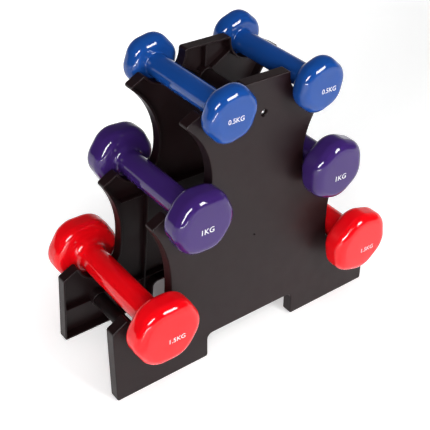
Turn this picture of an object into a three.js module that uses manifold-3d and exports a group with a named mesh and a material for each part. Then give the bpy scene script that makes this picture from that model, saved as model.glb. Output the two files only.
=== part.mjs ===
// A stand for three pairs of vinyl-dipped hand weights. Two moulded tray-shaped side panels face
// each other, three cross tubes hold them apart, and each pair of weights lies in a pair of cradles.
// Millimetres. x runs across the stand, y from its front panel (-) to its back panel (+), z up,
// and the origin is on the floor under the middle.
import * as THREE from "three";
import { mergeVertices } from "three/addons/utils/BufferGeometryUtils.js";
import Module from "manifold-3d";

const wasm = await Module();
wasm.setup();

// ---- Driving dimensions ----
const HALF_WIDTH = 157;
const HEIGHT = 283;
const TOP_HALF_WIDTH = 25.5;
const CRADLE_RADIUS = 22.4;
const HORN_SLOPE = 0.53;
const PANEL_DEPTH = 11;
const WEB = 2.2;
const RIM = 2;
const EDGE_BEVEL = 1;
const TIP_ROUNDING = 4.2;
const ARCH = { halfWidth: 53.5, height: 26.6, corner: 6 };
const GAP = 0.3;

// Each tier's cradle is a circle, its horn ends in a tip, and below the tip the panel's edge
// sweeps in to a waist.
const TIERS = {
  top: { cradle: [48, 280.2], tip: [83.8, 260.3], waist: [53, 197.6] },
  middle: { cradle: [76.5, 189.2], tip: [114.3, 171.8], waist: [94.9, 109.2] },
  bottom: { cradle: [117.5, 91], tip: [HALF_WIDTH, 79.5] },
};

// Distance from the middle plane to a panel's outer face, at each height where the panel bends.
const STANCE = [
  { z: 0, y: 53.7 },
  { z: 79.5, y: 48.6 },
  { z: 172, y: 44.5 },
  { z: HEIGHT, y: 46 },
];

const TUBE = { radius: 7.15, bore: 2.1 };
const SOCKET_RADIUS = 8.8;
const SCREW = { headRadius: 3.1, headHeight: 2.2, shankRadius: 1.8, length: 18, wellRadius: 3.5, wellDepth: 5 };
const SCREW_HOLE_RADIUS = 2.1;
const SEAT = 2;
const TUBES = {
  top: { x: 0, z: 250 },
  lower_left: { x: -117.2, z: 36.5 },
  lower_right: { x: 117.2, z: 36.5 },
};

const RIB = { thickness: 1.6, reach: 8 };
const LOW_RIB_Z = 36.5;
const HIGH_RIB_Z = 144.5;
const SIDE_RIB_X = 62.5;

// A weight's head is six-sided with well rounded corners. Its size is from its middle to a flat, and
// its two edges are rounded by endEdge and backEdge.
const WEIGHTS = {
  top: { grip: 11, head: 24.6, endEdge: 9, backEdge: 9.6, shoulder: 46.5, end: 66.5 },
  middle: { grip: 12.6, head: 29.7, endEdge: 10.4, backEdge: 9, shoulder: 48.4, end: 75.4 },
  bottom: { grip: 13.6, head: 32.8, endEdge: 9.8, backEdge: 8.5, shoulder: 56.8, end: 82.8 },
};
const COLOURS = { top: 0x1f57c8, middle: 0x4a2aa6, bottom: 0xe01020 };
const CORNER_SHARE = 0.7;
const COAT = 2;
const VENT_RADIUS = 2.5;
const TURNS = 18;

// How each weight lies: its handle's shift in x and y from the middle of its cradles, and its heads'
// turn in degrees, from a flat that faces +x towards +z.
const LAY = {
  top_left: { across: 0, along: 0.4, roll: 42 },
  top_right: { across: 0, along: -0.3, roll: 50 },
  middle_left: { across: -1.2, along: 0.5, roll: 27 },
  middle_right: { across: -3, along: -1, roll: 8 },
  bottom_left: { across: 0, along: 1.1, roll: 30 },
  bottom_right: { across: -2, along: -1.1, roll: 13 },
};

const material = {
  plastic: new THREE.MeshStandardMaterial({ color: 0x1c1a1a, roughness: 0.6, metalness: 0 }),
  steel: new THREE.MeshStandardMaterial({ color: 0xb8babd, roughness: 0.35, metalness: 1 }),
  iron: new THREE.MeshStandardMaterial({ color: 0x3c3c3e, roughness: 0.8, metalness: 0.8 }),
};

// ---- Solids ----
function solid(geometry) {
  const bare = geometry.clone();
  bare.deleteAttribute("normal");
  bare.deleteAttribute("uv");
  const merged = mergeVertices(bare, 1e-4);
  return new wasm.Manifold(
    new wasm.Mesh({
      numProp: 3,
      vertProperties: merged.getAttribute("position").array,
      triVerts: new Uint32Array(merged.index.array),
    }),
  );
}

function geometryOf(manifold) {
  const { vertProperties, triVerts } = manifold.getMesh();
  const geometry = new THREE.BufferGeometry();
  geometry.setAttribute("position", new THREE.BufferAttribute(vertProperties, 3));
  geometry.setIndex(new THREE.BufferAttribute(triVerts, 1));
  return geometry.toNonIndexed();
}

// A panel is drawn in x and z, with its depth measured inwards from its outer face along y.
// An extruded outline spans the depths from..to.
function slab(points, from, to, options = {}) {
  const shape = new THREE.Shape(points);
  const extruded = new THREE.ExtrudeGeometry(shape, { depth: to - from, bevelEnabled: false, ...options });
  return solid(extruded.translate(0, 0, -to).rotateX(Math.PI / 2));
}

function post(x, z, radius, from, to, sides = 24) {
  const cylinder = new THREE.CylinderGeometry(radius, radius, to - from, sides);
  return solid(cylinder.translate(x, (from + to) / 2, z));
}

// A rib is a thin wall that runs from one point to another and stands up from the web.
function rib([x1, z1], [x2, z2]) {
  const length = Math.hypot(x2 - x1, z2 - z1);
  const wall = new THREE.BoxGeometry(length, RIB.reach - WEB + 1, RIB.thickness);
  wall.rotateY(-Math.atan2(z2 - z1, x2 - x1));
  return solid(wall.translate((x1 + x2) / 2, (RIB.reach + WEB - 1) / 2, (z1 + z2) / 2));
}

// ---- Panel outline ----
const point = (x, z) => new THREE.Vector2(x, z);

function arc([x, z], radius, startAngle, endAngle, steps) {
  const curve = new THREE.EllipseCurve(x, z, radius, radius, startAngle, endAngle, endAngle < startAngle);
  return curve.getPoints(steps);
}

// Where a line leaves a circle, the farther of the two along the line's direction when ahead.
function lineOnCircle(centre, radius, start, direction, ahead) {
  const from = start.clone().sub(centre);
  const along = from.dot(direction);
  const reach = Math.sqrt(along ** 2 - from.lengthSq() + radius ** 2);
  return start.clone().addScaledVector(direction, -along + (ahead ? reach : -reach));
}

// Replaces the corner at an index by a curve that starts and ends a short walk away from it.
function softened(points, index, walk) {
  const step = (direction) => {
    let left = walk;
    let at = index;
    while (left > points[at].distanceTo(points[at + direction])) {
      left -= points[at].distanceTo(points[at + direction]);
      at += direction;
    }
    const towards = points[at + direction].clone().sub(points[at]).setLength(left);
    return { at: at + direction, place: points[at].clone().add(towards) };
  };
  const before = step(-1);
  const after = step(1);
  const curve = new THREE.QuadraticBezierCurve(before.place, points[index], after.place);
  return [...points.slice(0, before.at + 1), ...curve.getPoints(4), ...points.slice(after.at)];
}

// The right half of the panel's edge, from the middle of its top to the middle of its arch,
// moved inwards by inset.
function rightEdge(inset) {
  const slope = Math.atan(HORN_SLOPE);
  const inwards = point(-Math.cos(slope), Math.sin(slope));
  const down = point(-Math.sin(slope), -Math.cos(slope));
  let edge = [point(0, HEIGHT - inset), point(TOP_HALF_WIDTH - inset, HEIGHT - inset)];
  const corners = [edge[1]];
  for (const { cradle, tip, waist } of Object.values(TIERS)) {
    const radius = CRADLE_RADIUS + inset;
    const centre = point(...cradle);
    const onHorn = point(...tip).addScaledVector(down, inset);
    const peak = lineOnCircle(centre, radius, onHorn, inwards, false);
    const peakAngle = Math.atan2(peak.y - centre.y, peak.x - centre.x);
    const bowl = arc(cradle, radius, -Math.PI, peakAngle, 12);
    corners.push(bowl.at(-1));
    edge.push(...bowl);
    if (waist) {
      const [inX, inZ] = [tip[0] - waist[0], tip[1] - waist[1]];
      const sweepRadius = (inX ** 2 + inZ ** 2) / (2 * inX);
      const sweepCentre = point(waist[0] + sweepRadius, waist[1]);
      const end = lineOnCircle(sweepCentre, sweepRadius + inset, onHorn, inwards, true);
      const endAngle = Math.atan2(end.y - sweepCentre.y, end.x - sweepCentre.x);
      const sweep = arc(sweepCentre.toArray(), sweepRadius + inset, endAngle, Math.PI, 8);
      corners.push(sweep[0]);
      edge.push(...sweep);
    } else {
      const side = HALF_WIDTH - inset;
      const shoulder = point(side, onHorn.y - (side - onHorn.x) * HORN_SLOPE);
      corners.push(shoulder);
      edge.push(shoulder);
    }
  }
  const archSide = ARCH.halfWidth + inset;
  const archTop = ARCH.height + inset;
  const archCorner = ARCH.corner + inset;
  edge.push(point(HALF_WIDTH - inset, inset), point(archSide, inset));
  edge.push(...arc([archSide - archCorner, archTop - archCorner], archCorner, 0, Math.PI / 2, 4));
  edge.push(point(0, archTop));
  for (const corner of corners) edge = softened(edge, edge.indexOf(corner), TIP_ROUNDING - inset / 2);
  return edge;
}

function outline(inset) {
  const right = rightEdge(inset).slice(1, -1);
  const left = right.map(({ x, y }) => point(-x, y));
  return [...right, ...left.reverse()];
}

// ---- Side panel ----
// Splits every triangle that crosses a level plane, so that the panel can bend there.
function creased(geometry, z) {
  const { array } = geometry.getAttribute("position");
  const triangles = [];
  for (let i = 0; i < array.length; i += 9) {
    const corners = [0, 3, 6].map((k) => new THREE.Vector3().fromArray(array, i + k));
    const signs = corners.map((c) => Math.sign(Math.abs(c.z - z) < 1e-4 ? 0 : c.z - z));
    for (const side of signs.includes(1) && signs.includes(-1) ? [1, -1] : [0]) {
      const kept = [];
      corners.forEach((corner, k) => {
        const next = (k + 1) % 3;
        if (signs[k] * side >= 0) kept.push(corner);
        if (side && signs[k] * signs[next] < 0) {
          const [low, high] = signs[k] < 0 ? [corner, corners[next]] : [corners[next], corner];
          kept.push(low.clone().lerp(high, (z - low.z) / (high.z - low.z)));
        }
      });
      for (let k = 2; k < kept.length; k += 1) triangles.push(kept[0], kept[k - 1], kept[k]);
    }
  }
  return new THREE.BufferGeometry().setFromPoints(triangles);
}

// The outer face's distance from the middle plane at a height.
function stanceAt(z) {
  const upper = Math.max(1, STANCE.findIndex((bend) => bend.z >= z - 1e-3));
  const [a, b] = [STANCE[upper - 1], STANCE[upper]];
  return a.y + ((b.y - a.y) * (z - a.z)) / (b.z - a.z);
}

function panelGeometry() {
  const bevel = { bevelEnabled: true, bevelSize: EDGE_BEVEL, bevelThickness: EDGE_BEVEL, bevelSegments: 1 };
  const bevelled = slab(outline(0), EDGE_BEVEL, PANEL_DEPTH + 2 * EDGE_BEVEL, {
    ...bevel,
    bevelOffset: -EDGE_BEVEL,
  });
  const beyond = new THREE.BoxGeometry(4 * HALF_WIDTH, 20, 4 * HEIGHT).translate(0, PANEL_DEPTH + 10, 0);
  const blank = bevelled.subtract(solid(beyond));
  let panel = blank.subtract(slab(outline(RIM), WEB, PANEL_DEPTH + 5));

  const { cradle } = TIERS.top;
  const stayEnd = [cradle[0] - CRADLE_RADIUS * 0.9, cradle[1] - CRADLE_RADIUS * 0.55];
  const ribs = [
    rib([0, TUBES.top.z], [0, HEIGHT - 1]),
    rib([-HALF_WIDTH, LOW_RIB_Z], [HALF_WIDTH, LOW_RIB_Z]),
    rib([-HALF_WIDTH, HIGH_RIB_Z], [HALF_WIDTH, HIGH_RIB_Z]),
  ];
  for (const side of [-1, 1]) {
    ribs.push(rib([0, TUBES.top.z], [side * stayEnd[0], stayEnd[1]]));
    ribs.push(rib([side * SIDE_RIB_X, 1], [side * SIDE_RIB_X, HIGH_RIB_Z]));
  }
  const inside = slab(outline(RIM / 2), WEB / 2, PANEL_DEPTH);
  for (const wall of ribs) panel = panel.add(wall.intersect(inside));

  const seatDepth = SCREW.wellDepth + SEAT;
  for (const { x, z } of Object.values(TUBES)) {
    panel = panel.add(post(x, z, SOCKET_RADIUS, WEB / 2, PANEL_DEPTH));
    panel = panel.subtract(post(x, z, TUBE.radius + GAP, seatDepth, PANEL_DEPTH + 1));
    panel = panel.subtract(post(x, z, SCREW.wellRadius, -1, SCREW.wellDepth));
    panel = panel.subtract(post(x, z, SCREW_HOLE_RADIUS, 0, PANEL_DEPTH, 12));
  }

  let bent = geometryOf(panel);
  for (const { z } of STANCE.slice(1, -1)) bent = creased(bent, z);
  const position = bent.getAttribute("position");
  for (let i = 0; i < position.count; i += 1) {
    position.setY(i, position.getY(i) - stanceAt(position.getZ(i)));
  }
  return bent;
}

// ---- Cross tubes and screws ----
const turned = (profile, sides) => new THREE.LatheGeometry(profile.map(([r, y]) => point(r, y)), sides);

// A tube's end stops short of the panel's seat, which leans a little, so it is set by the seat's
// nearer edge.
function tubeHalfLength({ z }) {
  const nearer = Math.min(stanceAt(z - TUBE.radius), stanceAt(z + TUBE.radius));
  return nearer - SCREW.wellDepth - SEAT - GAP;
}

function tubeGeometry(place) {
  const half = tubeHalfLength(place);
  const { radius, bore } = TUBE;
  const profile = [[bore, -half], [radius - 0.6, -half], [radius, 0.6 - half], [radius, half - 0.6]];
  return turned([...profile, [radius - 0.6, half], [bore, half], [bore, -half]], TURNS);
}

// The screw stands on its head's underside, with its point along +y.
function screwGeometry() {
  const { headRadius, headHeight, shankRadius, length } = SCREW;
  const profile = [
    [0, -headHeight],
    [headRadius * 0.55, -headHeight],
    [headRadius, -headHeight * 0.4],
    [headRadius, 0],
    [shankRadius, 0],
    [shankRadius, length - 3],
    [0, length],
  ];
  let screw = solid(turned(profile, 12));
  for (const turn of [0, Math.PI / 2]) {
    const slot = new THREE.BoxGeometry(headRadius, headHeight, 0.8);
    screw = screw.subtract(solid(slot.translate(0, -headHeight, 0).rotateY(turn)));
  }
  return geometryOf(screw);
}

// ---- Weights ----
// Half of a weight's profile, from its end's middle to its grip's middle, thinned by inset.
function halfProfile({ grip, head, endEdge, backEdge, shoulder, end }, inset) {
  const round = (edge, at, angle) => {
    const reach = edge - inset;
    return [head - edge + reach * Math.sin(angle), at + reach * Math.cos(angle)];
  };
  const outer = [0, 0.5, 1, Math.PI / 2].map((angle) => round(endEdge, end - endEdge, angle));
  const inner = [Math.PI / 2, 2.4].map((angle) => round(backEdge, shoulder + backEdge, angle));
  return [...outer, ...inner, [head - backEdge, shoulder + inset], [grip - inset, shoulder + inset]];
}

function fullProfile(weight, inset) {
  const half = halfProfile(weight, inset);
  return [...half.map(([r, y]) => [r, -y]), ...half.toReversed()];
}

// How far the heads' section reaches at an angle from a flat's middle, as a multiple of its size.
function sectionReach(angle) {
  const side = Math.PI / 3;
  const turn = Math.abs(angle - side * Math.round(angle / side));
  const straight = (1 - CORNER_SHARE) * Math.tan(side / 2);
  if (Math.tan(turn) < straight) return 1 / Math.cos(turn);
  const cornerCentre = (1 - CORNER_SHARE) / Math.cos(side / 2);
  const off = side / 2 - turn;
  const beyond = Math.sqrt(CORNER_SHARE ** 2 - (cornerCentre * Math.sin(off)) ** 2);
  return cornerCentre * Math.cos(off) + beyond;
}

// Gives a turned weight its six-sided heads. The grip stays round.
function sixSided(geometry, { grip, head }) {
  const position = geometry.getAttribute("position");
  for (let i = 0; i < position.count; i += 1) {
    const [x, z] = [position.getX(i), position.getZ(i)];
    const share = THREE.MathUtils.clamp((Math.hypot(x, z) - grip) / (head - grip), 0, 1);
    const reach = 1 + (sectionReach(Math.atan2(z, x)) - 1) * share;
    position.setXYZ(i, x * reach, position.getY(i), z * reach);
  }
  return geometry;
}

function coatGeometry(weight) {
  const skin = [[0, -weight.end], ...fullProfile(weight, 0)];
  const lining = [[0, COAT - weight.end], ...fullProfile(weight, COAT)];
  const vent = [[VENT_RADIUS, weight.end], [VENT_RADIUS, weight.end - COAT]];
  return sixSided(turned([...skin, ...vent, ...lining.toReversed()], TURNS), weight);
}

function coreGeometry(weight) {
  const inset = COAT + GAP;
  const profile = [[0, inset - weight.end], ...fullProfile(weight, inset), [0, weight.end - inset]];
  return sixSided(turned(profile, TURNS), weight);
}

// ---- Assembly ----
const rack = new THREE.Group();

function place(name, geometry, finish, parent = rack) {
  const mesh = new THREE.Mesh(geometry, finish);
  mesh.name = name;
  parent.add(mesh);
  return mesh;
}

const panel = panelGeometry();
place("front_panel", panel, material.plastic);
place("back_panel", panel, material.plastic).rotation.z = Math.PI;

const screw = screwGeometry();
for (const [name, { x, z }] of Object.entries(TUBES)) {
  place(`${name}_cross_tube`, tubeGeometry({ x, z }), material.plastic).position.set(x, 0, z);
  const headSeat = Math.min(stanceAt(z - SCREW.headRadius), stanceAt(z + SCREW.headRadius)) - SCREW.wellDepth;
  for (const [end, sign] of [["front", -1], ["back", 1]]) {
    const fastener = place(`${name}_${end}_screw`, screw, material.steel);
    fastener.position.set(x, sign * (headSeat + 0.6), z);
    if (sign > 0) fastener.rotation.z = Math.PI;
  }
}

for (const [tier, weight] of Object.entries(WEIGHTS)) {
  const [cradleX, cradleZ] = TIERS[tier].cradle;
  const vinyl = new THREE.MeshStandardMaterial({ color: COLOURS[tier], roughness: 0.2, metalness: 0 });
  const play = CRADLE_RADIUS - GAP - weight.grip;
  for (const [side, sign] of [["left", -1], ["right", 1]]) {
    const { across, along, roll } = LAY[`${tier}_${side}`];
    const dumbbell = new THREE.Group();
    dumbbell.position.set(sign * cradleX + across, along, cradleZ - Math.sqrt(play ** 2 - across ** 2));
    dumbbell.rotation.y = -THREE.MathUtils.degToRad(roll);
    place(`${tier}_${side}_core`, coreGeometry(weight), material.iron, dumbbell);
    place(`${tier}_${side}_coat`, coatGeometry(weight), vinyl, dumbbell);
    rack.add(dumbbell);
  }
}

export default rack;
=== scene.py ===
"""Looks for a stand that holds three pairs of vinyl-dipped hand weights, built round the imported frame.

Sizes are millimetres in the stand's own frame: x across the stand, y from its front panel (-) to its
back panel (+), z up from the floor. They become metres when a mesh is made.
"""

import math

import bmesh
import bpy
from mathutils import Matrix, Vector


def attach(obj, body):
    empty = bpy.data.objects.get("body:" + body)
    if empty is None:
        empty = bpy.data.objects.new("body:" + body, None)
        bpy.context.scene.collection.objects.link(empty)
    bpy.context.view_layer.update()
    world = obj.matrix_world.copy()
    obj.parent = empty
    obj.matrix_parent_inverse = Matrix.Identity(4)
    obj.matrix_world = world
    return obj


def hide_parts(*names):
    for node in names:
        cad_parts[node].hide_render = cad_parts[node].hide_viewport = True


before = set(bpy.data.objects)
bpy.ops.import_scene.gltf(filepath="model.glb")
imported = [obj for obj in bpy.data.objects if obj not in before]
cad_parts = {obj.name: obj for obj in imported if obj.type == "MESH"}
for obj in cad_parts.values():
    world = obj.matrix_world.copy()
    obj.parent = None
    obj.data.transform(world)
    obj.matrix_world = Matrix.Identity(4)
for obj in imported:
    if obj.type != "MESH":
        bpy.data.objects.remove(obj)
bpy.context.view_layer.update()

MM = 0.001
FRONT, BACK = -1, 1
LEFT, RIGHT = -1, 1

# ---- Side panel ----
# On each side, a tier has a round cradle, a horn that ends at its tip, and below the tip a sweep in to
# its waist. The bottom tier has no waist: its horn runs out to the panel's straight side.
HALF_WIDTH = 157
HEIGHT = 283
CRADLE_RADIUS = 22.4
HORN_SLOPE = math.atan(0.53)
PANEL_DEPTH = 11
WEB = 2.2
RIM = 2
EDGE_ROUNDING = 1.1
TIP_ROUNDING = 2.6
FOOT_ROUNDING = 2.3
ARCH_HALF_WIDTH, ARCH_HEIGHT, ARCH_CORNER = 53.5, 26.6, 6
TIERS = {
    "top": {"cradle": (48, 280.2), "tip": (83.8, 260.3), "waist": (53, 197.6)},
    "middle": {"cradle": (76.5, 189.2), "tip": (114.3, 171.8), "waist": (94.9, 109.2)},
    "bottom": {"cradle": (117.5, 91), "tip": (HALF_WIDTH, 79.5)},
}
# Height, and the outer face's distance from the middle plane there.
STANCE = [(0, 53.7), (79.5, 48.6), (172, 44.5), (HEIGHT, 46)]
BENDS = 40
LIP_ROUNDING = 0.5
BEVEL_IN, BEVEL_UP = 0.2, 0.3
WAIST_REACH = 5.4
BOWL_START = math.radians(200)
LOW_RIB_Z, HIGH_RIB_Z, SIDE_RIB_X = 36.5, 144.5, 62.5
RIB_THICKNESS, RIB_REACH, RIB_CHAMFER = 1.6, 8, 0.45
HIGH_RIB_END = 93
STAY_ANGLE = math.radians(212)
BOSS_RADIUS, BOSS_ROUNDING = 8.8, 0.4
SOCKET_RADIUS = 7.45
WELL_RADIUS, WELL_DEPTH, SEAT = 3.6, 5, 2
HOLE_FLARE = 0.35
SCREW_CLEARANCE = 0.3
GATE_MARK_Z, GATE_MARK_RADIUS = 121.5, 1.1
GATE_MARK_WALL, GATE_MARK_DEPTH = 1.4, 1.7

# ---- Tubes and screws ----
TUBE_RADIUS, TUBE_BORE, TUBE_ROUNDING = 7.15, 2.1, 0.6
TUBE_END_GAP = 0.4
TUBES = {"top": (0, 250), "lower_left": (-117.2, 36.5), "lower_right": (117.2, 36.5)}
SCREW_HEAD_RADIUS, SCREW_HEAD_HEIGHT, SCREW_HEAD_SIDE = 3.1, 2.2, 0.35
SCREW_CROWN = (0.15, 0.4, 0.7, 1.0, 1.3, 1.57)
SCREW_SHANK_RADIUS, SCREW_LENGTH, SCREW_POINT = 1.8, 18, 3
SCREW_SEAT_LIFT = 0.5
RECESS_WIDTH, RECESS_DEPTH, RECESS_REACH, RECESS_TWIST = 0.75, 1.2, 1.1, math.radians(25)

# ---- Weights ----
# A head's size is from its middle to a flat of its six sides. Its two edges are rounded by end_edge and
# back_edge, and neck is the fillet between the grip and the head.
WEIGHTS = {
    "top": {
        "grip": 11, "head": 24.6, "end_edge": 9, "back_edge": 9.6, "shoulder": 46.5, "end": 66.5,
        "neck": 1.6, "mark": "0.5KG", "mark_width": 16.2,
    },
    "middle": {
        "grip": 12.6, "head": 29.7, "end_edge": 10.4, "back_edge": 9.4, "shoulder": 48.4, "end": 75.4,
        "neck": 5.4, "mark": "1KG", "mark_width": 12.8,
    },
    "bottom": {
        "grip": 13.6, "head": 32.8, "end_edge": 9.8, "back_edge": 8.5, "shoulder": 56.8, "end": 82.8,
        "neck": 8.5, "mark": "1.5KG", "mark_width": 16.6,
    },
}
# How each weight lies: shift in x, shift in y, the roll of its six-sided heads in degrees, and where
# its mark is printed, in x and z from the middle of its front end.
LAY = {
    "top_left": (0, 0.4, 42, (-0.4, -1.4)),
    "top_right": (0, -0.3, 50, (3.9, -2.4)),
    "middle_left": (-1.2, 0.5, 27, (-0.6, -3.4)),
    "middle_right": (-3, -1, 8, (0, -4.9)),
    "bottom_left": (0, 1.1, 30, (5.8, -5.1)),
    "bottom_right": (-2, -1.1, 13, (5.8, -6.4)),
}
CORNER_SHARE = 0.7
REST_GAP = 0.3
PRINT_RISE = 0.06
TURNS = 96


# ---- Meshes ----
def link(name, data):
    piece = bpy.data.objects.new(name, data)
    bpy.context.scene.collection.objects.link(piece)
    return piece


def to_tool(bm, name, scale=1):
    """Makes an object of a bmesh. It stays in millimetres, to be cut or joined further, unless scaled."""
    bmesh.ops.recalc_face_normals(bm, faces=bm.faces)
    bmesh.ops.scale(bm, vec=(scale, scale, scale), verts=bm.verts)
    mesh = bpy.data.meshes.new(name)
    bm.to_mesh(mesh)
    bm.free()
    return link(name, mesh)


def to_object(bm, name, sharp_angle=40):
    """Makes an object in metres of a millimetre bmesh, smooth apart from its sharp edges."""
    piece = to_tool(bm, name, MM)
    piece.data.shade_smooth()
    piece.data.set_sharp_from_angle(angle=math.radians(sharp_angle))
    return piece


def taken_back(tool):
    """Moves a tool's mesh into a new bmesh."""
    bm = bmesh.new()
    bm.from_mesh(tool.data)
    bpy.data.objects.remove(tool)
    return bm


def apply_modifiers(piece):
    evaluated = piece.evaluated_get(bpy.context.evaluated_depsgraph_get())
    mesh = bpy.data.meshes.new_from_object(evaluated)
    piece.modifiers.clear()
    piece.data = mesh


def revolve(bm, profile, centre=(0, 0, 0), turns=TURNS):
    """Turns (radius, y) points round an axis along y.

    A profile that starts at radius 0 is closed at both ends there. Any other one is closed on itself.
    """
    rings = []
    for radius, y in profile:
        if radius < 1e-6:
            rings.append([bm.verts.new(Vector(centre) + Vector((0, y, 0)))])
            continue
        ring = []
        for k in range(turns):
            angle = 2 * math.pi * k / turns
            offset = Vector((radius * math.cos(angle), y, radius * math.sin(angle)))
            ring.append(bm.verts.new(Vector(centre) + offset))
        rings.append(ring)
    closed = len(rings[0]) > 1
    pairs = zip(rings, rings[1:] + rings[:1]) if closed else zip(rings, rings[1:])
    for low, high in pairs:
        for k in range(turns):
            after = (k + 1) % turns
            lower = [low[k % len(low)], low[after % len(low)]]
            upper = [high[after % len(high)], high[k % len(high)]]
            bm.faces.new(dict.fromkeys(lower + upper))


def rounded(centre, radius, start, end, steps):
    """Points of an arc in a (radius, y) profile, between two angles in degrees."""
    for k in range(steps + 1):
        angle = math.radians(start + (end - start) * k / steps)
        yield (centre[0] + radius * math.cos(angle), centre[1] + radius * math.sin(angle))


# ---- Panel outline ----
def line_on_circle(centre, radius, start, direction, ahead):
    """Where a line meets a circle: the farther place along its direction if ahead, or else the nearer."""
    away = start - centre
    along = away.dot(direction)
    reach = math.sqrt(along**2 - away.length_squared + radius**2)
    return start + direction * (-along + (reach if ahead else -reach))


def heading(angle):
    return Vector((math.cos(angle), math.sin(angle)))


def arc(centre, radius, start, end, steps, hollow):
    """(point, outward normal) pairs of an arc. A hollow arc bounds the panel from its inside."""
    side = -1 if hollow else 1
    stops = [start + (end - start) * k / steps for k in range(steps + 1)]
    return [(centre + heading(a) * radius, heading(a) * side) for a in stops]


def easing(start, start_way, end, end_way, reach, steps):
    """(point, outward normal) pairs of a smooth curve between two points with given directions."""
    controls = [start, start + start_way * reach, end - end_way * reach, end]
    pairs = []
    for k in range(1, steps):
        t = k / steps
        weights = [(1 - t) ** 3, 3 * t * (1 - t) ** 2, 3 * t**2 * (1 - t), t**3]
        point = sum((c * w for c, w in zip(controls, weights)), Vector((0, 0)))
        slopes = [(1 - t) ** 2, 2 * t * (1 - t), t**2]
        steps_between = [b - a for a, b in zip(controls, controls[1:])]
        way = sum((step * w for step, w in zip(steps_between, slopes)), Vector((0, 0))).normalized()
        pairs.append((point, Vector((-way.y, way.x))))
    return pairs


def right_edge():
    """The right half of the panel's edge, from its top to its arch, clockwise."""
    up = math.pi / 2
    horn_normal = up - HORN_SLOPE
    inwards = heading(math.pi - HORN_SLOPE)
    top_corner = Vector((TIERS["top"]["cradle"][0] - CRADLE_RADIUS - TIP_ROUNDING, HEIGHT - TIP_ROUNDING))
    pairs = arc(top_corner, TIP_ROUNDING, up, 0, 8, hollow=False)
    bowl_start = math.pi
    tiers = list(TIERS.values())
    for tier, lower_tier in zip(tiers, [*tiers[1:], None]):
        centre = Vector(tier["cradle"])
        on_horn = Vector(tier["tip"])
        under_horn = on_horn - heading(horn_normal) * TIP_ROUNDING
        peak = line_on_circle(centre, CRADLE_RADIUS + TIP_ROUNDING, under_horn, inwards, ahead=False)
        to_peak = peak - centre
        peak_angle = math.atan2(to_peak.y, to_peak.x)
        pairs += arc(centre, CRADLE_RADIUS, bowl_start, 2 * math.pi + peak_angle, 48, hollow=True)
        pairs += arc(peak, TIP_ROUNDING, math.pi + peak_angle, horn_normal, 10, hollow=False)
        if not lower_tier:
            break
        waist = Vector(tier["waist"])
        span = on_horn - waist
        radius = span.length_squared / (2 * span.x)
        sweep_centre = waist + Vector((radius, 0))
        tip = line_on_circle(sweep_centre, radius + TIP_ROUNDING, under_horn, inwards, ahead=True)
        to_tip = tip - sweep_centre
        tip_angle = math.atan2(to_tip.y, to_tip.x) % (2 * math.pi)
        pairs += arc(tip, TIP_ROUNDING, horn_normal, tip_angle - math.pi, 10, hollow=False)
        pairs += arc(sweep_centre, radius, tip_angle, math.pi, 36, hollow=True)
        bowl_start = BOWL_START
        landing = Vector(lower_tier["cradle"]) + heading(bowl_start) * CRADLE_RADIUS
        pairs += easing(waist, Vector((0, -1)), landing, heading(bowl_start + up), WAIST_REACH, 10)
    drop = under_horn.y - (HALF_WIDTH - TIP_ROUNDING - under_horn.x) * math.tan(HORN_SLOPE)
    pairs += arc(Vector((HALF_WIDTH - TIP_ROUNDING, drop)), TIP_ROUNDING, horn_normal, 0, 8, hollow=False)
    foot = FOOT_ROUNDING
    pairs += arc(Vector((HALF_WIDTH - foot, foot)), foot, 0, -up, 6, hollow=False)
    pairs += arc(Vector((ARCH_HALF_WIDTH + foot, foot)), foot, -up, -2 * up, 6, hollow=False)
    arch_corner = Vector((ARCH_HALF_WIDTH - ARCH_CORNER, ARCH_HEIGHT - ARCH_CORNER))
    pairs += arc(arch_corner, ARCH_CORNER, 0, up, 10, hollow=True)
    return pairs


def outline():
    right = right_edge()
    left = [(Vector((-p.x, p.y)), Vector((-n.x, n.y))) for p, n in reversed(right)]
    return right + left


def stance(z):
    """The outer face's distance from the middle plane, on a smooth curve through STANCE."""
    ways = [(b[1] - a[1]) / (b[0] - a[0]) for a, b in zip(STANCE, STANCE[1:])]
    slopes = [ways[0]] + [(a + b) / 2 if a * b > 0 else 0 for a, b in zip(ways, ways[1:])] + [ways[-1]]
    for (z0, y0), (z1, y1), s0, s1 in zip(STANCE, STANCE[1:], slopes, slopes[1:]):
        if z <= z1 or z1 == HEIGHT:
            break
    width = z1 - z0
    t = (z - z0) / width
    return (
        (2 * t**3 - 3 * t**2 + 1) * y0
        + (t**3 - 2 * t**2 + t) * width * s0
        + (3 * t**2 - 2 * t**3) * y1
        + (t**3 - t**2) * width * s1
    )


# ---- Panel ----
def panel_shell():
    """The tray: (inset, depth) rings of the outline from the outer face, over the rim, to the inner face."""
    rings = [(r, EDGE_ROUNDING + d) for r, d in rounded((EDGE_ROUNDING, 0), EDGE_ROUNDING, 270, 180, 6)]
    lip = LIP_ROUNDING
    rings += [(lip + r, PANEL_DEPTH - lip + d) for r, d in rounded((0, 0), lip, 180, 90, 3)]
    rings += [(RIM - lip + r, PANEL_DEPTH - lip + d) for r, d in rounded((0, 0), lip, 90, 0, 3)]
    rings += [(RIM, WEB + BEVEL_UP), (RIM + BEVEL_IN, WEB)]
    edge = outline()
    bm = bmesh.new()
    loops = []
    for inset, depth in rings:
        loops.append([bm.verts.new((p.x - n.x * inset, depth, p.y - n.y * inset)) for p, n in edge])
    for low, high in zip(loops, loops[1:]):
        for k in range(len(edge)):
            after = (k + 1) % len(edge)
            bm.faces.new((low[k], low[after], high[after], high[k]))
    bm.faces.new(loops[0])
    bm.faces.new(loops[-1])
    return to_tool(bm, "shell")


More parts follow.
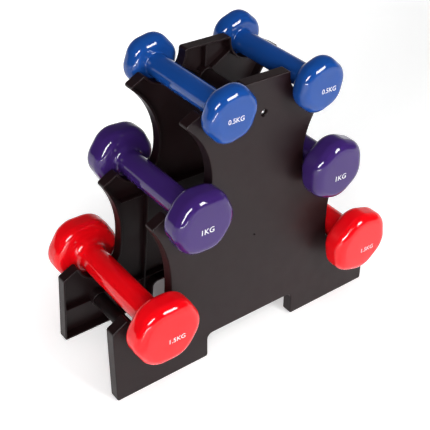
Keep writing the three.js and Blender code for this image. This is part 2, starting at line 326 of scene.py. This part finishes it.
def add_rib(bm, start, end):
    """A thin wall along the web, with its crest's edges chamfered."""
    start, end = Vector(start), Vector(end)
    way = (end - start).normalized()
    across = Vector((-way.y, way.x))
    half = RIB_THICKNESS / 2
    section = [(-half, WEB / 2), (-half, RIB_REACH - RIB_CHAMFER), (-half + RIB_CHAMFER, RIB_REACH)]
    section += [(-x, depth) for x, depth in reversed(section)]
    ends = []
    for place in (start, end):
        loop = []
        for x, depth in section:
            flat = place + across * x
            loop.append(bm.verts.new((flat.x, depth, flat.y)))
        ends.append(loop)
    for k in range(len(section)):
        after = (k + 1) % len(section)
        bm.faces.new((ends[0][k], ends[0][after], ends[1][after], ends[1][k]))
    bm.faces.new(ends[0])
    bm.faces.new(ends[1])


def panel_ribs():
    bm = bmesh.new()
    wall = HALF_WIDTH - RIM / 2
    cradle = Vector(TIERS["top"]["cradle"])
    top_tube = TUBES["top"]
    add_rib(bm, top_tube, (0, HEIGHT - RIM / 2))
    add_rib(bm, (-wall, LOW_RIB_Z), (wall, LOW_RIB_Z))
    add_rib(bm, (-HIGH_RIB_END, HIGH_RIB_Z), (HIGH_RIB_END, HIGH_RIB_Z))
    for side in (LEFT, RIGHT):
        stay_end = cradle + heading(STAY_ANGLE) * (CRADLE_RADIUS + RIM / 2)
        add_rib(bm, top_tube, (side * stay_end.x, stay_end.y))
        add_rib(bm, (side * SIDE_RIB_X, RIM / 2), (side * SIDE_RIB_X, HIGH_RIB_Z))
    return to_tool(bm, "ribs")


def panel_bosses():
    bm = bmesh.new()
    edge = rounded((BOSS_RADIUS - BOSS_ROUNDING, PANEL_DEPTH - BOSS_ROUNDING), BOSS_ROUNDING, 0, 90, 3)
    boss = [(0, WEB / 2), (BOSS_RADIUS, WEB / 2), *edge, (0, PANEL_DEPTH)]
    for x, z in TUBES.values():
        revolve(bm, boss, (x, 0, z), 64)
    return to_tool(bm, "bosses")


def panel_holes():
    """The screw wells, screw holes and tube sockets, and the gate mark on the outer face."""
    bm = bmesh.new()
    seat_depth = WELL_DEPTH + SEAT
    flare = HOLE_FLARE
    well_mouth = [(0, -1), (WELL_RADIUS + flare + 1, -1), (WELL_RADIUS, flare)]
    well = [*well_mouth, (WELL_RADIUS, WELL_DEPTH), (0, WELL_DEPTH)]
    mouth = [(SOCKET_RADIUS, PANEL_DEPTH - flare), (SOCKET_RADIUS + flare + 1, PANEL_DEPTH + 1)]
    socket = [(0, seat_depth), (SOCKET_RADIUS, seat_depth), *mouth, (0, PANEL_DEPTH + 1)]
    bore = SCREW_SHANK_RADIUS + SCREW_CLEARANCE
    hole = [(0, WELL_DEPTH - 1), (bore, WELL_DEPTH - 1), (bore, seat_depth + 1), (0, seat_depth + 1)]
    for x, z in TUBES.values():
        revolve(bm, well, (x, 0, z), 48)
        revolve(bm, socket, (x, 0, z), 64)
        revolve(bm, hole, (x, 0, z), 24)
    gate_wall = [(GATE_MARK_RADIUS, -1), (GATE_MARK_RADIUS, GATE_MARK_WALL)]
    revolve(bm, [(0, -1), *gate_wall, (0, GATE_MARK_DEPTH)], (0, 0, GATE_MARK_Z), 24)
    return to_tool(bm, "holes")


def cut(piece, tool, operation):
    modifier = piece.modifiers.new(operation.lower(), "BOOLEAN")
    modifier.operation = operation
    modifier.object = tool
    modifier.solver = "EXACT"
    modifier.use_self = True
    apply_modifiers(piece)
    bpy.data.objects.remove(tool)


def panel_bmesh():
    """One panel as moulded, with a flat outer face at depth 0, split level by level so that it can bend."""
    shell = panel_shell()
    cut(shell, panel_ribs(), "UNION")
    cut(shell, panel_bosses(), "UNION")
    cut(shell, panel_holes(), "DIFFERENCE")
    bm = taken_back(shell)
    for k in range(1, BENDS):
        level = (0, 0, HEIGHT * k / BENDS)
        everything = bm.verts[:] + bm.edges[:] + bm.faces[:]
        bmesh.ops.bisect_plane(bm, geom=everything, plane_co=level, plane_no=(0, 0, 1))
    return bm


def add_panel(name, side, mould, material):
    bm = mould.copy()
    for vert in bm.verts:
        x, depth, z = vert.co
        y = depth - stance(z)
        vert.co = (x, y, z) if side == FRONT else (-x, -y, z)
    panel = to_object(bm, f"{name}_moulding", sharp_angle=35)
    panel.modifiers.new("even_shading", "WEIGHTED_NORMAL").keep_sharp = True
    apply_modifiers(panel)
    finish_piece(panel, "rack", name, material)


# ---- Pieces ----
def finish_piece(piece, body, node, material):
    piece.data.materials.clear()
    piece.data.materials.append(material)
    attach(piece, body)
    if node:
        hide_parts(node)


def seat_distance(z, reach):
    """How far the outer face over a round seat is from the middle plane, where the face is nearest."""
    return min(stance(z - reach), stance(z + reach))


def add_tube(name, x, z, material):
    half = seat_distance(z, TUBE_RADIUS) - WELL_DEPTH - SEAT - TUBE_END_GAP
    bm = bmesh.new()
    ends = list(rounded((TUBE_RADIUS - TUBE_ROUNDING, half - TUBE_ROUNDING), TUBE_ROUNDING, 90, 0, 4))
    profile = [(TUBE_BORE, half), *ends, *[(r, -y) for r, y in reversed(ends)], (TUBE_BORE, -half)]
    revolve(bm, profile, (x, 0, z), 64)
    finish_piece(to_object(bm, f"{name}_tube"), "rack", f"{name}_cross_tube", material)


def add_screw(name, x, z, side, end, material):
    """A pan-head screw with a cross recess, seated at the bottom of its well."""
    head, rise, shank = SCREW_HEAD_RADIUS, SCREW_HEAD_HEIGHT, SCREW_SHANK_RADIUS
    side_share = SCREW_HEAD_SIDE
    dome = [(head * math.sin(a), -rise * (side_share + (1 - side_share) * math.cos(a))) for a in SCREW_CROWN]
    point = [(shank, 0), (shank, SCREW_LENGTH - SCREW_POINT), (0, SCREW_LENGTH)]
    bm = bmesh.new()
    revolve(bm, [(0, -rise), *dome, (head, 0), *point], turns=40)
    screw = to_tool(bm, f"{name}_{end}_screw_body")
    recess = bmesh.new()
    arm, depth = head * RECESS_REACH, 2 * RECESS_DEPTH
    for size in ((arm, depth, RECESS_WIDTH), (RECESS_WIDTH, depth, arm)):
        box = Matrix.Translation((0, -rise, 0)) @ Matrix.Diagonal((*size, 1))
        bmesh.ops.create_cube(recess, size=1, matrix=box)
    cut(screw, to_tool(recess, "recess"), "DIFFERENCE")
    bm = taken_back(screw)
    seat = seat_distance(z, head) - WELL_DEPTH + SCREW_SEAT_LIFT
    turn = Matrix.Rotation(0 if side == FRONT else math.pi, 4, "Z")
    twist = Matrix.Rotation(RECESS_TWIST, 4, "Y")
    bm.transform(Matrix.Translation((x, side * seat, z)) @ turn @ twist)
    screw = to_object(bm, f"{name}_{end}_screw_piece")
    finish_piece(screw, "rack", f"{name}_{end}_screw", material)


def weight_profile(weight):
    """(radius, y) points of half a weight, from the middle of its grip to the middle of its end."""
    grip, head, neck = weight["grip"], weight["head"], weight["neck"]
    shoulder, end = weight["shoulder"], weight["end"]
    back, front = weight["back_edge"], weight["end_edge"]
    flat = head - front
    points = [(grip, shoulder * share) for share in (0, 0.3, 0.6)]
    points += rounded((grip + neck, shoulder - neck), neck, 180, 90, 10)
    points += rounded((head - back, shoulder + back), back, 270, 360, 16)
    points += rounded((flat, end - front), front, 0, 90, 20)
    points += [(flat * k / 8, end) for k in range(7, -1, -1)]
    return points


def section_reach(angle):
    """How far a head's six-sided section reaches at an angle from a flat's middle, against its size."""
    side = math.pi / 3
    turn = abs(angle - side * round(angle / side))
    if math.tan(turn) < (1 - CORNER_SHARE) * math.tan(side / 2):
        return 1 / math.cos(turn)
    corner_centre = (1 - CORNER_SHARE) / math.cos(side / 2)
    off = side / 2 - turn
    return corner_centre * math.cos(off) + math.sqrt(CORNER_SHARE**2 - (corner_centre * math.sin(off)) ** 2)


def six_sided(bm, weight, roll):
    """Gives a turned weight its six-sided heads. The grip stays round."""
    grip, head = weight["grip"], weight["head"]
    for vert in bm.verts:
        x, _, z = vert.co
        share = min(max((math.hypot(x, z) - grip) / (head - grip), 0), 1)
        share *= share * (3 - 2 * share)
        reach = 1 + (section_reach(math.atan2(z, x) - roll) - 1) * share
        vert.co.x *= reach
        vert.co.z *= reach


def add_weight(tier, side, vinyl, ink):
    weight = WEIGHTS[tier]
    cradle_x, cradle_z = TIERS[tier]["cradle"]
    name = f"{tier}_{'left' if side == LEFT else 'right'}"
    across, along, roll, mark_place = LAY[name]
    play = CRADLE_RADIUS - REST_GAP - weight["grip"]
    centre = Vector((side * cradle_x + across, along, cradle_z - math.sqrt(play**2 - across**2)))
    half = weight_profile(weight)
    body = f"{name}_dumbbell"
    bm = bmesh.new()
    profile = [(r, -y) for r, y in reversed(half)] + half[1:]
    revolve(bm, profile)
    six_sided(bm, weight, math.radians(roll))
    bmesh.ops.translate(bm, verts=bm.verts, vec=centre)
    coat = to_object(bm, f"{name}_vinyl", sharp_angle=180)
    finish_piece(coat, body, f"{name}_coat", vinyl)
    mark = add_mark(f"{name}_mark", weight, centre + Vector((mark_place[0], 0, mark_place[1])))
    finish_piece(mark, body, None, ink)


def add_mark(name, weight, centre):
    """The weight in kilograms, printed on the front end."""
    text = bpy.data.curves.new(name, "FONT")
    text.body = weight["mark"]
    text.align_x = "CENTER"
    text.align_y = "CENTER"
    text.size = 7
    text.extrude = PRINT_RISE
    text.resolution_u = 4
    draft = link(f"{name}_draft", text)
    bpy.context.view_layer.update()
    mesh = bpy.data.meshes.new_from_object(draft.evaluated_get(bpy.context.evaluated_depsgraph_get()))
    bpy.data.objects.remove(draft)
    bm = bmesh.new()
    bm.from_mesh(mesh)
    bmesh.ops.remove_doubles(bm, verts=bm.verts, dist=1e-5)
    xs = [v.co.x for v in bm.verts]
    ys = [v.co.y for v in bm.verts]
    scale = weight["mark_width"] / (max(xs) - min(xs))
    middle = Vector(((max(xs) + min(xs)) / 2, (max(ys) + min(ys)) / 2, 0))
    face = Vector((0, -weight["end"], 0))
    stand = Matrix.Rotation(math.pi / 2, 4, "X")
    resize = Matrix.Diagonal((scale, scale, 1, 1))
    bm.transform(Matrix.Translation(centre + face) @ stand @ resize @ Matrix.Translation(-middle))
    return to_object(bm, name, sharp_angle=30)


# ---- Materials ----
# Sockets of a Mix node that mixes colours.
COLOUR_A, COLOUR_B, MIXED_COLOUR = 6, 7, 2


class Nodes:
    """A material's or a world's node tree, with short calls to add and link nodes."""

    def __init__(self, owner, coordinates="Object"):
        owner.use_nodes = True
        self.tree = owner.node_tree
        self.place = self.tree.nodes.new("ShaderNodeTexCoord").outputs[coordinates]

    def feed(self, socket, value):
        """Links an output to a socket, or gives the socket a value."""
        if hasattr(value, "is_output"):
            self.tree.links.new(value, socket)
        else:
            socket.default_value = value

    def add(self, kind, links=None, **values):
        node = self.tree.nodes.new(kind)
        for key, value in values.items():
            if key in node.inputs:
                node.inputs[key].default_value = value
            else:
                setattr(node, key.lower(), value)
        for socket, source in (links or {}).items():
            self.tree.links.new(source, node.inputs[socket])
        return node

    def math(self, operation, *values):
        node = self.add("ShaderNodeMath", operation=operation)
        for socket, value in zip(node.inputs, values):
            self.feed(socket, value)
        return node.outputs[0]

    def along(self, direction):
        """How far a place, or a way, reaches along a direction."""
        node = self.add("ShaderNodeVectorMath", {0: self.place}, operation="DOT_PRODUCT")
        node.inputs[1].default_value = direction
        return node.outputs["Value"]

    def noise(self, scale, detail=3, roughness=0.5):
        settings = {"Scale": scale, "Detail": detail, "Roughness": roughness}
        return self.add("ShaderNodeTexNoise", {"Vector": self.place}, **settings).outputs["Fac"]

    def ramp(self, source, low, high, to_low, to_high, shape="LINEAR"):
        """Takes low..high to to_low..to_high, and stays at the nearer end outside that."""
        node = self.add("ShaderNodeMapRange", {"Value": source}, clamp=True, interpolation_type=shape)
        for socket, value in (("From Min", low), ("From Max", high), ("To Min", to_low), ("To Max", to_high)):
            node.inputs[socket].default_value = value
        return node.outputs["Result"]

    def mix(self, factor, low, high):
        node = self.add("ShaderNodeMix", data_type="RGBA")
        self.tree.links.new(factor, node.inputs["Factor"])
        for socket, colour in ((COLOUR_A, low), (COLOUR_B, high)):
            self.feed(node.inputs[socket], (*colour, 1) if isinstance(colour, tuple) else colour)
        return node.outputs[MIXED_COLOUR]

    def bump(self, height, distance, strength=1.0, below=None):
        node = self.add("ShaderNodeBump", {"Height": height}, Distance=distance, Strength=strength)
        if below:
            self.tree.links.new(below, node.inputs["Normal"])
        return node.outputs["Normal"]

    def set(self, shader, **sockets):
        for key, value in sockets.items():
            self.feed(self.tree.nodes[shader].inputs[key.replace("_", " ")], value)


def new_material(name):
    material = bpy.data.materials.new(name)
    return material, Nodes(material)


def scaled(colour, factor):
    return tuple(c * factor for c in colour)


def black_plastic(name, shade, roughness):
    """Satin black moulding: a fine grain, slow flow marks and a few paler scuffs."""
    material, nodes = new_material(name)
    flow = nodes.ramp(nodes.noise(9, 4, 0.55), 0.35, 0.65, 0, 1)
    scuff = nodes.ramp(nodes.noise(160, 6, 0.7), 0.66, 0.78, 0, 0.5)
    colour = nodes.mix(scuff, nodes.mix(flow, scaled(shade, 0.82), shade), scaled(shade, 1.9))
    grain = nodes.bump(nodes.noise(2600, 2), 0.00006, 0.6)
    waves = nodes.bump(nodes.noise(28, 2), 0.0006, 0.35, below=grain)
    rough = nodes.ramp(nodes.noise(60, 4), 0.3, 0.7, roughness - 0.05, roughness + 0.07)
    nodes.set("Principled BSDF", Base_Color=colour, Roughness=rough, Normal=waves, IOR=1.33)
    return material


def vinyl(name, colour):
    """Dipped vinyl: glossy, a little uneven, with rare small pimples in the coat."""
    material, nodes = new_material(name)
    tone = nodes.mix(nodes.ramp(nodes.noise(22, 3), 0.35, 0.65, 0, 1), scaled(colour, 0.93), colour)
    cells = nodes.add("ShaderNodeTexVoronoi", {"Vector": nodes.place}, Scale=95.0)
    pimples = nodes.ramp(cells.outputs["Distance"], 0.0, 0.07, 1, 0)
    runs = nodes.bump(nodes.noise(24, 0), 0.0004, 0.1)
    skin = nodes.bump(pimples, 0.0003, 0.4, below=runs)
    rough = nodes.ramp(nodes.noise(45, 3), 0.3, 0.7, 0.01, 0.03)
    nodes.set("Principled BSDF", Base_Color=tone, Roughness=rough, Normal=skin, IOR=1.42)
    return material


def steel():
    material, nodes = new_material("zinc_plated_steel")
    tone = nodes.mix(nodes.noise(700, 3), (0.42, 0.42, 0.43), (0.7, 0.7, 0.7))
    rough = nodes.ramp(nodes.noise(1500, 3), 0.3, 0.7, 0.2, 0.36)
    nodes.set("Principled BSDF", Base_Color=tone, Roughness=rough, Metallic=1.0)
    return material


def cast_iron():
    material, nodes = new_material("raw_cast_iron")
    tone = nodes.mix(nodes.noise(300, 4), (0.03, 0.03, 0.032), (0.09, 0.088, 0.085))
    skin = nodes.bump(nodes.noise(900, 4), 0.0003, 0.8)
    nodes.set("Principled BSDF", Base_Color=tone, Roughness=0.7, Metallic=0.7, Normal=skin)
    return material


def white_ink():
    material, nodes = new_material("white_ink")
    wear = nodes.ramp(nodes.noise(1200, 3), 0.3, 0.6, 0, 1)
    tone = nodes.mix(wear, (0.62, 0.62, 0.64), (0.85, 0.85, 0.86))
    nodes.set("Principled BSDF", Base_Color=tone, Roughness=0.35)
    return material


PANEL_BLACK, PANEL_ROUGHNESS = (0.0105, 0.0028, 0.0034), 0.42
TUBE_BLACK, TUBE_ROUGHNESS = (0.008, 0.003, 0.0035), 0.46
TIER_SLOTS = {"top": "blue_vinyl", "middle": "purple_vinyl", "bottom": "red_vinyl"}
TIER_COLOURS = {"top": (0.008, 0.06, 0.275), "middle": (0.04, 0.015, 0.125), "bottom": (0.93, 0.003, 0.008)}


# ---- Stage ----
CAMERA_PLACE = (-430.7, -512.7, 598.9)
CAMERA_YAW, CAMERA_PITCH, CAMERA_ROLL = math.radians(39.325), math.radians(35.832), math.radians(3.266)
LENS, SENSOR_WIDTH = 71.12, 36
LIGHTS_FACE = (0, 0, 150)
FLOOR_HALF_WIDTH, FLOOR_DROP = 6000, 0.4
# How strongly the floor shines near the stand and far from it.
FLOOR_GLOW, FAR_GLOW = 0.4, 0.98
FAR_WAY = (-0.4, 0.92, 0)
# The floor's painted shadow patch under the stand, in metres: its middle in y, and where it fades out in x
# and in y.
SHADE_MIDDLE = 0.05
SHADE_FADE_X, SHADE_FADE_Y = (0.04, 0.1), (0.04, 0.09)
BACKDROP_WAY, UP = (0.63, 0.77, 0), (0, 0, 1)
BACKDROP = 0.65
ROOM = 0.03


def add_camera():
    yaw, pitch, roll = CAMERA_YAW, CAMERA_PITCH, CAMERA_ROLL
    look = Vector((math.sin(yaw) * math.cos(pitch), math.cos(yaw) * math.cos(pitch), -math.sin(pitch)))
    level = Vector((math.cos(yaw), -math.sin(yaw), 0))
    rise = level.cross(look)
    across = level * math.cos(roll) + rise * math.sin(roll)
    upright = rise * math.cos(roll) - level * math.sin(roll)
    data = bpy.data.cameras.new("camera")
    data.sensor_width = SENSOR_WIDTH
    data.lens = LENS
    camera = link("camera", data)
    turn = Matrix((across, upright, -look)).transposed().to_4x4()
    camera.matrix_world = Matrix.Translation(Vector(CAMERA_PLACE) * MM) @ turn
    bpy.context.scene.camera = camera


def add_softbox(name, azimuth, elevation, distance, size, power, mirrored, tilt=0):
    """A rectangular light that faces the stand, seen from it at an azimuth from -y towards +x.

    Its distance and size are in metres. It is either mirrored in glossy surfaces and lights nothing
    else, or it lights surfaces evenly and isn't mirrored.
    """
    azimuth, elevation, tilt = math.radians(azimuth), math.radians(elevation), math.radians(tilt)
    flat = math.cos(elevation)
    way = Vector((math.sin(azimuth) * flat, -math.cos(azimuth) * flat, math.sin(elevation)))
    data = bpy.data.lights.new(name, "AREA")
    data.shape = "RECTANGLE"
    data.size, data.size_y = size
    data.energy = power
    light = link(name, data)
    place = Matrix.Translation(Vector(LIGHTS_FACE) * MM + way * distance)
    facing = way.to_track_quat("Z", "Y").to_matrix().to_4x4()
    light.matrix_world = place @ facing @ Matrix.Rotation(tilt, 4, "Z")
    light.visible_glossy = mirrored
    light.visible_diffuse = not mirrored


def pale_floor():
    """Pale, and lit from within apart from a painted shadow patch under the stand. Its glow is painted light,
    brightest far off.
    """
    material, nodes = new_material("pale_floor")
    tone = nodes.mix(nodes.noise(3, 2), (0.9, 0.9, 0.9), (0.93, 0.93, 0.93))
    x, y, _ = nodes.add("ShaderNodeSeparateXYZ", {"Vector": nodes.place}).outputs
    # A painted shadow: the glow fades to nothing in a patch under the stand and just behind it.
    off_x = nodes.ramp(nodes.math("ABSOLUTE", x), *SHADE_FADE_X, 0, 1)
    off_y = nodes.ramp(nodes.math("ABSOLUTE", nodes.math("SUBTRACT", y, SHADE_MIDDLE)), *SHADE_FADE_Y, 0, 1)
    reach = nodes.add("ShaderNodeVectorMath", {0: nodes.place}, operation="LENGTH").outputs["Value"]
    behind = nodes.ramp(nodes.along(FAR_WAY), 0, 0.7, FLOOR_GLOW, FAR_GLOW)
    far = nodes.ramp(reach, 0.8, 1.8, FLOOR_GLOW, FAR_GLOW)
    glow = nodes.math("MULTIPLY", nodes.math("MAXIMUM", off_x, off_y), nodes.math("MAXIMUM", behind, far))
    emission = {"Emission_Color": (1, 1, 1, 1), "Emission_Strength": glow}
    nodes.set("Principled BSDF", Base_Color=tone, Roughness=0.7, **emission)
    return material


def add_floor():
    bm = bmesh.new()
    bmesh.ops.create_grid(bm, x_segments=8, y_segments=8, size=FLOOR_HALF_WIDTH * MM)
    mesh = bpy.data.meshes.new("floor")
    bm.to_mesh(mesh)
    bm.free()
    floor = link("floor", mesh)
    floor.location.z = -FLOOR_DROP * MM
    floor.data.materials.append(pale_floor())


def set_world():
    """A dark room in front and a pale backdrop behind, for reflections. A camera sees white all round."""
    world = bpy.data.worlds.new("studio")
    nodes = Nodes(world, "Generated")
    behind = nodes.ramp(nodes.along(BACKDROP_WAY), 0.3, 0.75, 0, 1, "SMOOTHSTEP")
    low = nodes.ramp(nodes.along(UP), 0.1, 0.5, 1, 0.1, "SMOOTHSTEP")
    level = nodes.math("MULTIPLY_ADD", nodes.math("MULTIPLY", behind, low), BACKDROP, ROOM)
    seen = nodes.add("ShaderNodeLightPath").outputs["Is Camera Ray"]
    nodes.set("Background", Color=(1, 1, 1, 1), Strength=nodes.math("MAXIMUM", level, seen))
    bpy.context.scene.world = world


def build():
    panel_plastic = black_plastic("satin_black_plastic", PANEL_BLACK, PANEL_ROUGHNESS)
    tube_plastic = black_plastic("black_tube_plastic", TUBE_BLACK, TUBE_ROUGHNESS)
    metal = steel()
    mould = panel_bmesh()
    add_panel("front_panel", FRONT, mould, panel_plastic)
    add_panel("back_panel", BACK, mould, panel_plastic)
    mould.free()
    for name, (x, z) in TUBES.items():
        add_tube(name, x, z, tube_plastic)
        add_screw(name, x, z, FRONT, "front", metal)
        add_screw(name, x, z, BACK, "back", metal)
    ink = white_ink()
    iron = cast_iron()
    for tier, colour in TIER_COLOURS.items():
        coat = vinyl(TIER_SLOTS[tier], colour)
        for side in (LEFT, RIGHT):
            add_weight(tier, side, coat, ink)
    for node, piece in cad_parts.items():
        if node.endswith("_core"):
            piece.data.materials.clear()
            piece.data.materials.append(iron)


bpy.context.scene.view_settings.view_transform = "Standard"
build()
add_camera()
add_floor()
set_world()
add_softbox("right_window", 20, 26, 1.8, (0.52, 0.62), 36, tilt=8, mirrored=True)
add_softbox("left_window", -43, 23.5, 1.8, (1.05, 0.36), 42, tilt=35, mirrored=True)
add_softbox("low_strip", -38, -2.2, 1.7, (1.0, 0.035), 5, mirrored=True)
add_softbox("right_fill", 20, 26, 1.8, (0.66, 0.46), 17.5, mirrored=False)
add_softbox("left_fill", -43, 24, 1.8, (0.88, 0.34), 15.5, mirrored=False)
add_softbox("overhead", 0, 80, 2.4, (2.5, 2.5), 28, mirrored=False)
